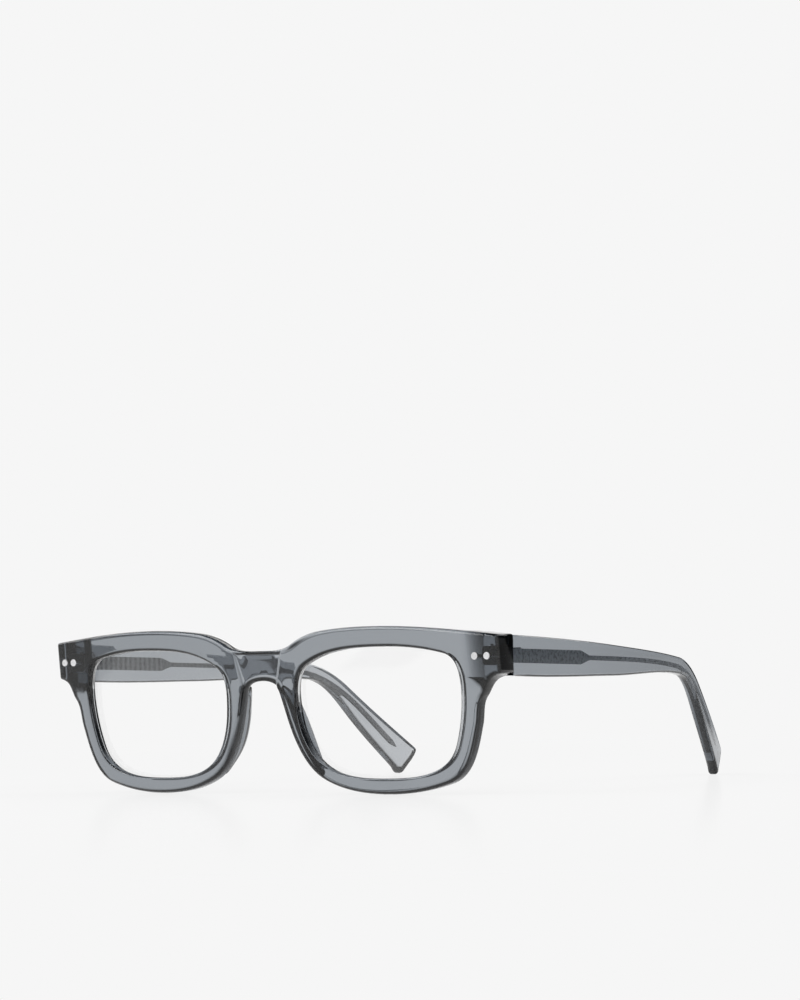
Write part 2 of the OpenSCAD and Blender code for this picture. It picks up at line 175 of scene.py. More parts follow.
half = curve(OUTER, 0.45, 5)
BACK_SHIFT = -(lean(bow(half[:, 0]), half[:, 1]).min() + TIP_Y) / 2


# Slabs: a flat outline with holes, given a shaped face on each side and walls between them.
# Below are the least distances that keep a face's triangles sound, and its grid's start and spacing
ROW_SLACK, EDGE_CLEAR, EXTRA_CLEAR, POINT_GAP, SAME_POINT = 0.02, 0.04, 0.08, 0.11, 1e-6
GRID_START, GRID_ROW, GRID_CLEAR = (0.013, 0.017), 0.87, 0.35


def normals_in(loop, hole):
    """Unit normals along a closed loop that point into the material."""
    along = np.roll(loop, -1, 0) - np.roll(loop, 1, 0)
    along /= np.linalg.norm(along, axis=1)[:, None]
    nxt = np.roll(loop, -1, 0)
    area = np.sum(loop[:, 0] * nxt[:, 1] - nxt[:, 0] * loop[:, 1])
    side = 1.0 if (area > 0) != hole else -1.0
    return side * np.stack([-along[:, 1], along[:, 0]], 1)


def distance(points, loop, chunk=1500):
    """Distance of each point from a closed loop."""
    a, b = loop, np.roll(loop, -1, 0)
    d = b - a
    dd = np.maximum((d * d).sum(1), 1e-12)
    out = np.empty(len(points))
    for i in range(0, len(points), chunk):
        p = points[i : i + chunk, None, :]
        t = np.clip(((p - a) * d).sum(2) / dd, 0, 1)
        out[i : i + chunk] = np.sqrt(((p - a - t[..., None] * d) ** 2).sum(2)).min(1)
    return out


def distances(points, loops):
    """One column of distances for each loop."""
    return np.stack([distance(points, loop) for loop in loops], 1)


def inside(points, loops):
    """True where a point is inside the first loop and outside the others."""
    odd = np.zeros(len(points), bool)
    for loop in loops:
        for (x0, z0), (x1, z1) in zip(loop, np.roll(loop, -1, 0)):
            if z0 == z1:
                continue
            hit = (points[:, 1] >= min(z0, z1)) & (points[:, 1] < max(z0, z1))
            odd ^= hit & (points[:, 0] < x0 + (points[:, 1] - z0) * (x1 - x0) / (z1 - z0))
    return odd


def spread(points, gap):
    """Drops each point that lies nearer than the gap to one kept before it."""
    kept, cells = [], {}
    for i, (x, z) in enumerate(points):
        cx, cz = int(x // gap), int(z // gap)
        near = (j for a in (-1, 0, 1) for b in (-1, 0, 1) for j in cells.get((cx + a, cz + b), ()))
        if all((points[j, 0] - x) ** 2 + (points[j, 1] - z) ** 2 >= gap * gap for j in near):
            kept.append(i)
            cells.setdefault((cx, cz), []).append(i)
    return points[kept]


def face_mesh(loops, rows, gap, extra):
    """Points and triangles of one face. The loops' own points come first, in order."""
    edge = np.concatenate(loops)
    starts = np.cumsum([0] + [len(loop) for loop in loops])
    parts = []
    for k, loop in enumerate(loops):
        for depth in rows[k]:
            pts = loop + depth * normals_in(loop, k > 0)
            pts = pts[inside(pts, loops)]
            near = distances(pts, loops)
            ok = (near[:, k] > depth - ROW_SLACK) & (near.min(1) > EDGE_CLEAR)
            for j in range(len(loops)):
                if j != k and rows[j]:
                    ok &= near[:, j] > rows[j][-1] / 2
            parts.append(pts[ok])
    lo, hi = loops[0].min(0), loops[0].max(0)
    xs = np.arange(lo[0] + GRID_START[0], hi[0], gap)
    zs = np.arange(lo[1] + GRID_START[1], hi[1], gap * GRID_ROW)
    grid = np.array([(x + (gap / 2 if r % 2 else 0), z) for r, z in enumerate(zs) for x in xs])
    grid = grid[inside(grid, loops)]
    deep = np.array([(r[-1] if r else 0) + GRID_CLEAR * gap for r in rows])
    grid = grid[(distances(grid, loops) > deep).all(1)]
    if len(extra):
        extra = np.asarray(extra, float)
        extra = extra[inside(extra, loops)]
        parts.insert(0, extra[distances(extra, loops).min(1) > EXTRA_CLEAR])
    parts.append(grid)
    filling = spread(np.concatenate(parts), POINT_GAP)
    pts = np.concatenate([edge, filling])
    spans = list(zip(starts[:-1], starts[1:]))
    edges = [(a + i, a + (i + 1) % (b - a)) for a, b in spans for i in range(b - a)]
    made = delaunay_2d_cdt([Vector(p) for p in pts], edges, [], 0, SAME_POINT)
    out, tris, origin = np.array([tuple(v) for v in made[0]]), np.array(made[2]), made[3]
    tris = tris[inside(out[tris].mean(1), loops)]
    where = {}
    for i, src in enumerate(origin):
        for s in src:
            where[s] = i
    return out, tris, [np.array([where[i] for i in range(a, b)]) for a, b in spans]


def slab(loops, front, back, rows_front, rows_back, gap, extra_front=(), extra_back=(), wall=None):
    """Points and faces of a closed mesh. front and back give the depth at points, from their distances to
    the loops. rows are the depths of the rows of points along each loop, gap the spacing of the rest, and
    extra more points. wall gives rows between the faces for a loop: offsets inward, and depths."""
    verts, faces, rims, first = [], [], [], 0
    for rows, side, extra, flip in ((rows_front, front, extra_front, 1), (rows_back, back, extra_back, -1)):
        pts, tris, ring = face_mesh(loops, rows, gap, extra)
        near = distances(pts, loops)
        for k, ids in enumerate(ring):
            near[ids, k] = 0
        verts.append(np.column_stack([pts, side(pts, near)]))
        faces += [tuple(t[::flip] + first) for t in tris]
        rims.append([ids + first for ids in ring])
        first += len(pts)
    for k, loop in enumerate(loops):
        inward = normals_in(loop, k > 0)
        rows = [rims[0][k]]
        for off, depth in wall(k, loop) if wall else []:
            verts.append(np.column_stack([loop + off * inward, depth]))
            rows.append(np.arange(len(loop)) + first)
            first += len(loop)
        rows.append(rims[1][k])
        for p, q in zip(rows[:-1], rows[1:]):
            for i in range(len(loop)):
                j = (i + 1) % len(loop)
                faces.append((p[i], p[j], q[j], q[i]))
    return np.concatenate(verts), faces


def mesh_object(name, verts, faces, sharp):
    """A piece in metres from points in millimetres, with its normals out. Edges that turn by more degrees
    than sharp stay sharp."""
    mesh = bpy.data.meshes.new(name)
    mesh.from_pydata((np.asarray(verts) * MM).tolist(), [], [tuple(int(i) for i in f) for f in faces])
    mesh.validate()
    bm = bmesh.new()
    bm.from_mesh(mesh)
    bmesh.ops.dissolve_degenerate(bm, dist=1e-7, edges=bm.edges)
    bmesh.ops.recalc_face_normals(bm, faces=bm.faces)
    for f in bm.faces:
        f.smooth = True
    for e in bm.edges:
        e.smooth = not (e.is_manifold and e.calc_face_angle(0) > math.radians(sharp))
    bm.to_mesh(mesh)
    bm.free()
    obj = bpy.data.objects.new(name, mesh)
    bpy.context.scene.collection.objects.link(obj)
    return obj


def across(v):
    """X, Y, Z in the part's frame from across, up, depth."""
    return np.column_stack([v[:, 0], v[:, 2] + BACK_SHIFT, v[:, 1]])


def along(v):
    """X, Y, Z in the part's frame from back, up, across."""
    return np.column_stack([v[:, 2], v[:, 0] + BACK_SHIFT, v[:, 1]])


def mirrored(v):
    """The same points on the wearer's other side."""
    return v * np.array([-1, 1, 1])


def rounding(near, r):
    """Depth lost to a quarter round of radius r at a distance from the edge."""
    gone = np.clip(r - near, 0, None)
    return r - np.sqrt(np.maximum(np.square(r) - gone**2, 0))


def round_rows(r, n):
    """Depths of n rows of points that share out a quarter round of radius r."""
    return [r * (1 - math.cos(math.pi / 2 * i / n)) for i in range(1, n + 1)]


def smoothstep(t):
    """0 to 1 with a soft start and end."""
    t = np.clip(t, 0, 1)
    return t * t * (3 - 2 * t)


# Materials
def material(name, **values):
    """A new material with values for its shader's sockets, its nodes and the shader."""
    m = bpy.data.materials.new(name)
    m.use_nodes = True
    tree = m.node_tree
    shader = tree.nodes["Principled BSDF"]
    for key, value in values.items():
        shader.inputs[key.replace("_", " ")].default_value = value
    return m, tree, shader


def put(tree, socket, value):
    """Gives a socket a value, or links another socket to it."""
    if isinstance(value, bpy.types.NodeSocket):
        tree.links.new(value, socket)
    else:
        socket.default_value = value


def math_node(tree, how, *values):
    node = tree.nodes.new("ShaderNodeMath")
    node.operation = how
    for socket, value in zip(node.inputs, values):
        put(tree, socket, value)
    return node.outputs[0]


def mixed(tree, share, a, b, kind="FLOAT"):
    """Mix of two greys or two colours, each a value or a socket."""
    node = tree.nodes.new("ShaderNodeMix")
    node.data_type = kind
    for key, value in (("Factor", share), ("A", a), ("B", b)):
        put(tree, node.inputs[key], value)
    return node.outputs["Result"]


def ramped(tree, value, lo, hi, out_lo=0.0, out_hi=1.0, how="LINEAR"):
    """out_lo at lo and out_hi at hi."""
    node = tree.nodes.new("ShaderNodeMapRange")
    node.interpolation_type = how
    for key, v in zip(("From Min", "From Max", "To Min", "To Max"), (lo, hi, out_lo, out_hi)):
        node.inputs[key].default_value = v
    tree.links.new(value, node.inputs["Value"])
    return node.outputs["Result"]


def eased(tree, value, lo, hi):
    """0 at lo and 1 at hi, with a soft start and end."""
    return ramped(tree, value, lo, hi, how="SMOOTHSTEP")


def parts_of(tree, coordinate):
    """X, Y and Z of one of the texture coordinates."""
    source = tree.nodes.new("ShaderNodeTexCoord")
    parts = tree.nodes.new("ShaderNodeSeparateXYZ")
    tree.links.new(source.outputs[coordinate], parts.inputs[0])
    return parts.outputs["X"], parts.outputs["Y"], parts.outputs["Z"]


def noise(tree, scale, detail, stretch=(1, 1, 1)):
    """Noise that is fixed to the piece; scale is per metre."""
    co = tree.nodes.new("ShaderNodeTexCoord")
    mapping = tree.nodes.new("ShaderNodeMapping")
    mapping.inputs["Scale"].default_value = stretch
    tex = tree.nodes.new("ShaderNodeTexNoise")
    tex.inputs["Scale"].default_value = scale
    tex.inputs["Detail"].default_value = detail
    tree.links.new(co.outputs["Object"], mapping.inputs["Vector"])
    tree.links.new(mapping.outputs["Vector"], tex.inputs["Vector"])
    return tex.outputs["Fac"]


def bump(tree, shader, height, strength, distance_m):
    node = tree.nodes.new("ShaderNodeBump")
    node.inputs["Strength"].default_value = strength
    node.inputs["Distance"].default_value = distance_m
    tree.links.new(height, node.inputs["Height"])
    tree.links.new(node.outputs["Normal"], shader.inputs["Normal"])


TINT = (0.097, 0.153, 0.213, 1)
# Painted shade: a near-black for faces that look down and a dark grey for faces that look up, mixed into the
# acetate's base colour
PAINTED_UNDERSIDE_SHADE, PAINTED_TOP_SHADE = (0.01, 0.011, 0.012, 1), (0.16, 0.165, 0.17, 1)


def acetate(name, per_mm, below, above, painted_side_shade, painted_edge_shade):
    """See-through acetate: absorption from a density, polish that varies a little. Painted shade: the base
    colour is darkened on faces that look down, up or sideways and on faces seen along, in place of dark
    edges. below and above say how far the normal points down and up where those two shades start and where
    they are full."""
    m, tree, shader = material(name, Base_Color=(1, 1, 1, 1), Roughness=0.02, IOR=1.49)
    shader.inputs["Transmission Weight"].default_value = 1.0
    swirl = noise(tree, 130.0, 3.0, (1, 1, 2.2))
    put(tree, shader.inputs["Roughness"], ramped(tree, swirl, 0.3, 0.7, 0.012, 0.035))
    nx, _, nz = parts_of(tree, "Normal")
    seen = tree.nodes.new("ShaderNodeLayerWeight")
    seen.inputs["Blend"].default_value = 0.5
    clear = (1, 1, 1, 1)
    # Painted shade: each mask darkens the base colour toward a shade, on faces that look down, up, sideways
    # and seen along
    for value, limits, tone in (
        (math_node(tree, "MULTIPLY", nz, -1.0), below, PAINTED_UNDERSIDE_SHADE),
        (nz, above, PAINTED_TOP_SHADE),
        (math_node(tree, "ABSOLUTE", nx), (0.6, 0.9), (*painted_side_shade, 1)),
        (seen.outputs["Facing"], (0.45, 0.95), (*painted_edge_shade, 1)),
    ):
        clear = mixed(tree, ramped(tree, value, *limits), clear, tone, "RGBA")
    put(tree, shader.inputs["Base Color"], clear)
    soak = tree.nodes.new("ShaderNodeVolumeAbsorption")
    soak.inputs["Density"].default_value = per_mm / MM
    soak.inputs["Color"].default_value = TINT
    tree.links.new(soak.outputs["Volume"], tree.nodes["Material Output"].inputs["Volume"])
    return m


WORN, ROUGH_SPREAD = 0.82, 0.08


def metal(name, colour, rough, grain, stretch=(1, 1, 1)):
    """Metal whose tone and roughness vary with a grain."""
    m, tree, shader = material(name, Base_Color=(*colour, 1), Metallic=1.0, Roughness=rough)
    tex = noise(tree, grain, 4.0, stretch)
    varied = ramped(tree, tex, 0.3, 0.7, rough - ROUGH_SPREAD, rough + ROUGH_SPREAD)
    put(tree, shader.inputs["Roughness"], varied)
    worn = (*[c * WORN for c in colour], 1)
    tone = mixed(tree, ramped(tree, tex, 0.35, 0.65), worn, (*colour, 1), "RGBA")
    put(tree, shader.inputs["Base Color"], tone)
    bump(tree, shader, tex, 0.15, 0.00002)
    return m


RIB, RIB_TONE, LIP_SHADE, INNER_METAL = 2.05, 0.10, 0.85, 0.5


def core_steel():
    """Grainy steel: cross ribs RIB apart on the inner side of the flat end, a paler outer side, and painted
    shade that darkens the lips where the surface turns up or down."""
    m, tree, shader = material("core_steel")
    x, y, _ = parts_of(tree, "Object")
    nx, _, nz = parts_of(tree, "Normal")
    inner = math_node(tree, "LESS_THAN", math_node(tree, "MULTIPLY", x, nx), 0.0)
    outer = math_node(tree, "SUBTRACT", 1.0, inner)
    flat_end = BACK_SHIFT + JOINT_Y + PADDLE_L
    rib = math_node(tree, "SINE", math_node(tree, "MULTIPLY", y, 2 * math.pi / (RIB * MM)))
    rib = math_node(tree, "MULTIPLY", rib, eased(tree, y, (flat_end + 1) * MM, flat_end * MM))
    rib = math_node(tree, "MULTIPLY", rib, inner)
    grain = noise(tree, 1100.0, 2.0)
    tone = ramped(tree, grain, 0.3, 0.7, 0.26, 0.46)
    tone = math_node(tree, "ADD", tone, math_node(tree, "MULTIPLY", rib, RIB_TONE))
    pale = math_node(tree, "MULTIPLY", outer, ramped(tree, grain, 0.35, 0.65, 0.35, 0.75))
    tone = math_node(tree, "ADD", tone, pale)
    # Painted shade: the tone darkens where the normal turns up or down, for dark sides on the wire
    lip = eased(tree, math_node(tree, "ABSOLUTE", nz), 0.35, 0.6)
    lit = math_node(tree, "SUBTRACT", 1.0, math_node(tree, "MULTIPLY", lip, LIP_SHADE))
    tone = math_node(tree, "MULTIPLY", tone, lit)
    put(tree, shader.inputs["Metallic"], math_node(tree, "MULTIPLY", inner, INNER_METAL))
    put(tree, shader.inputs["Base Color"], mixed(tree, tone, (0, 0, 0, 1), (0.93, 0.96, 1.0, 1), "RGBA"))
    put(tree, shader.inputs["Roughness"], ramped(tree, grain, 0.3, 0.7, 0.32, 0.55))
    bump(tree, shader, tone, 0.5, 0.00006)
    return m


def lens_glass():
    """Clear, with a trace of uneven polish."""
    m, tree, shader = material("clear_lens", Base_Color=(1, 1, 1, 1), Roughness=0.0, IOR=1.5)
    shader.inputs["Transmission Weight"].default_value = 1.0
    put(tree, shader.inputs["Roughness"], ramped(tree, noise(tree, 60.0, 2.0), 0.4, 0.7, 0.0, 0.006))
    return m


# Painted shade: the last two colours of each acetate darken faces that look sideways and faces seen along
FRONT_ACETATE = acetate(
    "front_grey_acetate", 0.30, (0.18, 0.5), (0.8005, 0.9707), (0.015, 0.016, 0.017), (0.5, 0.51, 0.52)
)
TEMPLE_ACETATE = acetate("temple_grey_acetate", 0.25, (0.7, 0.92), (0.7, 0.92), (1, 1, 1), (0.6, 0.61, 0.62))
PAD_ACETATE = acetate("pad_acetate", 0.62, (0.3, 0.7), (0.3, 0.7), (0.85, 0.86, 0.87), (0.03, 0.031, 0.032))
RIVET = metal("rivet_steel", (0.83, 0.83, 0.84), 0.22, 900.0)
HINGE = metal("hinge_steel", (0.42, 0.42, 0.43), 0.32, 700.0, (1, 1, 6))
SCREW = metal("screw_steel", (0.6, 0.6, 0.61), 0.25, 1500.0, (1, 1, 4))
CORE = core_steel()
LENS = lens_glass()


# The front
def loop_points(nodes, shift=0.0):
    """A closed curve's points, moved inward by the shift."""
    pts = curve(nodes, 0.45, 6, closed=True)
    return pts + shift * normals_in(pts, True)


FLIP = np.array([-1, 1])
outer_loop = np.concatenate([half[1:-1], [[0, BRIDGE_LOW]], (half[1:-1] * FLIP)[::-1], [[0, BRIDGE_TOP]]])
left_opening = loop_points(OPENING)
right_opening = (left_opening * FLIP)[::-1]
FRONT_LOOPS = [outer_loop, left_opening, right_opening]
ROUND_OUT, ROUND_IN, ROUND_IN_TOP, ROUND_BACK, ROUND_BACK_IN, ROUND_BACK_END = 1.25, 0.4, 1.0, 0.8, 0.4, 0.3
FACET_TOP = (0.37 * BRIDGE_W, BRIDGE_TOP)
FACET_LOW = (0.26 * BRIDGE_W, BRIDGE_LOW - 1.9)
FACET_DX, FACET_DZ = FACET_TOP[0] - FACET_LOW[0], FACET_TOP[1] - FACET_LOW[1]
FACET_RAMP = 1.1


def facet_edge(z):
    """Across, of the outer edge of the bridge's facet at a height."""
    return FACET_LOW[0] + (z - FACET_LOW[1]) * FACET_DX / FACET_DZ


def facet_inset(p):
    """Distance inside the slanted sides of the facet."""
    return (facet_edge(p[:, 1]) - np.abs(p[:, 0])) * FACET_DZ / math.hypot(FACET_DX, FACET_DZ)


def inner_round(p):
    """Radius of the openings' front edges: broadest along the top and the temple side."""
    up = smoothstep((p[:, 1] - LENS_CZ) / (0.4 * LENS_H))
    out = smoothstep((np.abs(p[:, 0]) - LENS_CX) / (0.4 * LENS_W))
    return ROUND_IN + (ROUND_IN_TOP - ROUND_IN) * np.maximum(up, 0.8 * out)


def front_face(p, near):
    """The bowed front with rounded edges, and the bridge's facet let into it between ramps."""
    y = bow(p[:, 0]) + rounding(near[:, 0], ROUND_OUT) + rounding(near[:, 1:].min(1), inner_round(p))
    inset = np.minimum(facet_inset(p), BRIDGE_TOP - p[:, 1])
    y += FACET_D * smoothstep(inset / FACET_RAMP) * (p[:, 1] > FACET_LOW[1] - 1)
    return lean(y, p[:, 1])


# The slope and the cove behind the end pieces, and the shallow arc down the back of the bridge
COVE_X, COVE_WIDE, COVE_LOW, END_BACK = 64.12, 4.9, 4.7, JOINT_Y - 0.1
SADDLE_ROUND, SADDLE_R, SADDLE_X, SADDLE_SOFT, SADDLE_MID, SADDLE_DROP = 1.8, 59.0, 7.2, 3, 2.5, 3


def end_share(p):
    """How far an end piece stands out behind the rim: a slope on its inner side, a cove below it."""
    side = np.square(1 - np.clip((COVE_X - np.abs(p[:, 0])) / COVE_WIDE, 0, 1))
    under = 1 - np.sqrt(1 - np.square(1 - np.clip((TEMPLE_LOW - p[:, 1]) / COVE_LOW, 0, 1)))
    return side * under


def back_face(p, near):
    """The back, drawn out to the joint at the end pieces and a shallow arc on the bridge."""
    share = end_share(p)
    y = (1 - share) * lean(bow(p[:, 0]) + FRONT_T, p[:, 1]) + share * END_BACK
    saddle = smoothstep((SADDLE_X - np.abs(p[:, 0])) / SADDLE_SOFT)
    low = smoothstep((BRIDGE_TOP - 0.35 * BRIDGE_H - p[:, 1]) / (0.3 * BRIDGE_H))
    r = ROUND_BACK + (ROUND_BACK_END - ROUND_BACK) * share + (SADDLE_ROUND - ROUND_BACK) * saddle * low
    h = np.clip(p[:, 1] - BRIDGE_LOW - SADDLE_MID, -SADDLE_DROP, BRIDGE_H)
    y -= saddle * (SADDLE_R - np.sqrt(SADDLE_R**2 - h**2))
    return y - rounding(near[:, 0], r) - rounding(near[:, 1:].min(1), ROUND_BACK_IN)


# More points where the faces turn: along the end pieces' slopes and the facet's ramps
EXTRA_STEP = 0.3
ramp_points = []
for d in (0, 0.12, 0.26, 0.45, 0.7, 1.0, 1.4, 1.9, 2.5, 3.2, 4.0, COVE_LOW, COVE_WIDE):
    ramp_points += [(COVE_X - d, z) for z in np.arange(TEMPLE_LOW - COVE_LOW, END_TOP + 1, EXTRA_STEP)]
    ramp_points += [(x, TEMPLE_LOW - d) for x in np.arange(COVE_X - COVE_WIDE, HALF_W, EXTRA_STEP)]
ramp_points += [(-x, z) for x, z in ramp_points]
facet_points = []
for side in (-1, 1):
    for inset in np.linspace(-0.1, FACET_RAMP + 0.1, 8):
        for z in np.arange(FACET_LOW[1] - 0.6, FACET_TOP[1], EXTRA_STEP):
            facet_points.append((side * (facet_edge(z) - inset), z))

# The lenses' place, behind the bowed front and turned with it
LENS_TILT = math.atan((float(bow(lens_x(1))) - float(bow(lens_x(0)))) / LENS_W)
LENS_Y = float(bow(LENS_CX)) + 0.2
GROOVE_DEEP, GROOVE_HALF = 0.55, 0.5


def lens_depth(x, z, back=0.0):
    """Depth of the sphere that lies at some depth behind the lens's front."""
    cx = LENS_CX - LENS_R * math.sin(LENS_TILT)
    y, rise = LENS_Y + LENS_R * math.cos(LENS_TILT), LENS_CZ - END_MID
    cy = y * math.cos(TILT) - rise * math.sin(TILT)
    cz = END_MID + rise * math.cos(TILT) + y * math.sin(TILT)
    return cy - np.sqrt((LENS_R - back) ** 2 - (np.abs(x) - cx) ** 2 - (z - cz) ** 2)


def front_wall(k, loop):
    """The groove that holds the lens, round each opening."""
    if k == 0:
        return []
    mid = lens_depth(loop[:, 0], loop[:, 1], LENS_T / 2)
    return [(0, mid - GROOVE_HALF), (GROOVE_DEEP, mid), (0, mid + GROOVE_HALF)]


inner_rows, inner_back_rows = round_rows(ROUND_IN_TOP, 7), round_rows(ROUND_BACK_IN, 4)
v, f = slab(
    FRONT_LOOPS,
    front_face,
    back_face,
    [round_rows(ROUND_OUT, 9), inner_rows, inner_rows],
    [round_rows(SADDLE_ROUND, 10), inner_back_rows, inner_back_rows],
    1.0,
    facet_points,
    ramp_points,
    front_wall,
)
front = mesh_object("front_frame_acetate", across(v), f, 38)
front.data.materials.append(FRONT_ACETATE)
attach(front, "front")
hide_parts("front_frame")

# The lenses, with a bevelled edge that sits in the rim's groove
lens_loop = loop_points(OPENING, -0.04)
BEVEL_DEEP, BEVEL_HALF, LENS_ROWS = 0.5, 0.44, [[0.6]]


def lens_front(p, near):
    return lens_depth(p[:, 0], p[:, 1])


def lens_back(p, near):
    return lens_depth(p[:, 0], p[:, 1], LENS_T)


def lens_wall(k, loop):
    """The bevel round the edge."""
    mid = lens_depth(loop[:, 0], loop[:, 1], LENS_T / 2)
    return [(0, mid - BEVEL_HALF), (-BEVEL_DEEP, mid), (0, mid + BEVEL_HALF)]


v, f = slab([lens_loop], lens_front, lens_back, LENS_ROWS, LENS_ROWS, 1.6, wall=lens_wall)
for side, points in (("left", across(v)), ("right", mirrored(across(v)))):
    lens = mesh_object(side + "_lens_clear", points, f, 25)
    lens.data.materials.append(LENS)
    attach(lens, "front")
    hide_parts(side + "_lens")

# Nose pads: fins that grow out of the back of the rim beside the nose
PAD = [
    (6.5, 28.2, -20),
    (9.9, 22.1, -72),
    (13.1, 13.1, -66),
    (16.5, 6.6, -58),
    (16.9, 5.2, -140),
    (14.2, 7.2, 128),
    (9.9, 14.8, 109),
    (7.7, 21.6, 106),
    (5.7, 27.2, 110),
    (6.5, 28.2, -20),
]
pad_loop = curve(PAD, 0.3, 5, closed=True)
PAD_SINK, PAD_MID, PAD_HALF, PAD_W, PAD_FULL = 0.3, 16.8, 11.9, 2.1, 0.6


def pad_base(p, near):
    """Just inside the back of the front."""
    return lean(bow(p[:, 0]) + FRONT_T - PAD_SINK, p[:, 1])


def pad_back(p, near):
    """The crest, highest at mid height, with sides that round off over PAD_W."""
    swell = np.clip(1 - ((p[:, 1] - PAD_MID) / PAD_HALF) ** 2, 0, 1)
    rise = PAD_OUT * swell**PAD_FULL + PAD_SINK
    t = np.clip(near[:, 0] / PAD_W, 0, 1)
    return lean(bow(p[:, 0]) + FRONT_T - PAD_SINK + rise * np.sqrt(1 - (1 - t) ** 2), p[:, 1])


v, f = slab([pad_loop], pad_base, pad_back, [[0.3]], [round_rows(PAD_W, 12)], 0.5)
for side, points in (("left", across(v)), ("right", mirrored(across(v)))):
    pad = mesh_object(side + "_nose_pad_acetate", points, f, 40)
    pad.data.materials.append(PAD_ACETATE)
    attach(pad, "front")
    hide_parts(side + "_nose_pad")

# The temples
ARM_ROWS = [[0.03, 0.08, 0.15, 0.25, 0.36, 0.5, 0.65, 0.85, 1.12]]
ARM_ROUND_JOINT, ARM_ROUND_MORE, ARM_ROUND_TIP, ARM_ROUND_RUN = 0.2, 0.45, 0.5, 6


def arm_round(p):
    """Radius of the long edges: fine at the joint, nearly a full round at the tip."""
    t = np.clip((p[:, 0] - TEMPLE_Y) / ARM_ROUND_RUN, 0, 1)
    u = np.clip((p[:, 0] - BEND_Y) / EAR_RUN, 0, 1)
    return ARM_ROUND_JOINT + ARM_ROUND_MORE * t + ARM_ROUND_TIP * u


def arm_out(p, near):
    return curl_x(p[:, 0]) + arm_t(p[:, 0]) / 2 - rounding(near[:, 0], arm_round(p))


def arm_in(p, near):
    return curl_x(p[:, 0]) - arm_t(p[:, 0]) / 2 + rounding(near[:, 0], arm_round(p))


joint_face = np.column_stack([np.full(30, TEMPLE_Y), np.linspace(TEMPLE_LOW, TEMPLE_TOP, 32)[1:-1]])
arm_loop = np.concatenate([curve(ARM, 0.5, 5), joint_face])
v, f = slab([arm_loop], arm_out, arm_in, ARM_ROWS, ARM_ROWS, 1.0)
for side, points in (("left", along(v)), ("right", mirrored(along(v)))):
    arm = mesh_object(side + "_temple_acetate", points, f, 38)
    arm.data.materials.append(TEMPLE_ACETATE)
    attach(arm, side + "_temple")
    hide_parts(side + "_temple_arm")

# CAD pieces that keep their shape
for node, mat in (
    ("core_wire", CORE),
    ("temple_hinge", HINGE),
    ("front_hinge", HINGE),
    ("outer_rivet", RIVET),
    ("inner_rivet", RIVET),
    ("hinge_screw", SCREW),
):
    for side in ("left_", "right_"):
        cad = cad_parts[side + node]
        cad.data.materials.clear()
        cad.data.materials.append(mat)
        if node == "core_wire":
            soft = cad.modifiers.new("soft_edges", "BEVEL")
            soft.width = 0.25 * MM
            soft.segments = 3
            soft.limit_method = "ANGLE"
            soft.angle_limit = math.radians(50)

# Camera: the photograph's lower view
AZ, EL, ROLL = (math.radians(a) for a in (35.198, -2.067, -1.146))
FOCAL_PX, HEIGHT_PX, SENSOR_MM = 3915.2, 1000, 36.0
TARGET, AWAY = (46.384, BACK_SHIFT, 74.333), 0.985699
back = Vector((math.sin(AZ) * math.cos(EL), -math.cos(AZ) * math.cos(EL), math.sin(EL)))
right = (-back).cross(Vector((0, 0, 1))).normalized()
up = right.cross(-back)
cam_right = right * math.cos(ROLL) + up * math.sin(ROLL)
cam_up = up * math.cos(ROLL) - right * math.sin(ROLL)
camera = bpy.data.objects.new("camera", bpy.data.cameras.new("camera"))
bpy.context.scene.collection.objects.link(camera)
place = Matrix((cam_right, cam_up, back)).transposed().to_4x4()
place.translation = Vector(TARGET) * MM + back * AWAY
camera.matrix_world = place
camera.data.sensor_width = SENSOR_MM
camera.data.lens = SENSOR_MM * FOCAL_PX / HEIGHT_PX
camera.data.clip_start, camera.data.clip_end = 0.05, 50.0
bpy.context.scene.camera = camera

# World and floor. Angles are in degrees, and the turn about Z is 0 at the back and 90 at +X. The floor's
# distances are in metres, where its nearness and its pattern start and are full
PALE, DARK = 0.9216, 0.012  # pale is what RGB 246 is in linear light
MIRROR_DARK, MIRROR_STRIP, MIRROR_BOXES, FLOOR_DARK, DIFFUSE = 0.02, 3.0, 1.8, 0.2, 0.72
FOLD, GAP_START, GAP_FULL = 22.5, 12.0, 17.0
FLOOR_SHADE, FLOOR_GLOSS, NEAR_FLOOR, FAR_FLOOR = 0.10, 0.06, (0.42, 0.10), (0.4, 0.8)
OPEN_WALL, DARK_SIDE = (-52.0, 4.0, 5.0), (-24.0, 66.0, 6.0)
STRIP, BOXES = (-92.0, -62.0, 4.0), (28.0, 40.0, 4.0)
DARK_CEILING, MIRROR_CEILING = (7.0, 17.0), (16.0, 22.0)


def window(tree, value, lo, hi, soft):
    """1 from lo to hi, falling to 0 over the soft width on either side."""
    rising, falling = eased(tree, value, lo - soft, lo), eased(tree, value, hi + soft, hi)
    return math_node(tree, "MULTIPLY", rising, falling)


def degrees(tree, angle):
    """Degrees from an angle in radians."""
    return math_node(tree, "MULTIPLY", angle, 180 / math.pi)


def around(tree, coordinate):
    """Z and the turn about Z of a direction, the dark gaps between the walls and the dark side."""
    x, y, z = parts_of(tree, coordinate)
    turn = degrees(tree, math_node(tree, "ARCTAN2", x, y))
    fold = math_node(tree, "PINGPONG", math_node(tree, "ADD", turn, 360.0), FOLD)
    gap = math_node(tree, "SUBTRACT", eased(tree, fold, GAP_START, GAP_FULL), window(tree, turn, *OPEN_WALL))
    return z, turn, math_node(tree, "MAXIMUM", gap, 0.0), window(tree, turn, *DARK_SIDE)


def by_ray(tree, path, kind, other, tone):
    """The tone for one kind of ray, and the other one for the rest."""
    return mixed(tree, path.outputs["Is " + kind + " Ray"], other, tone)


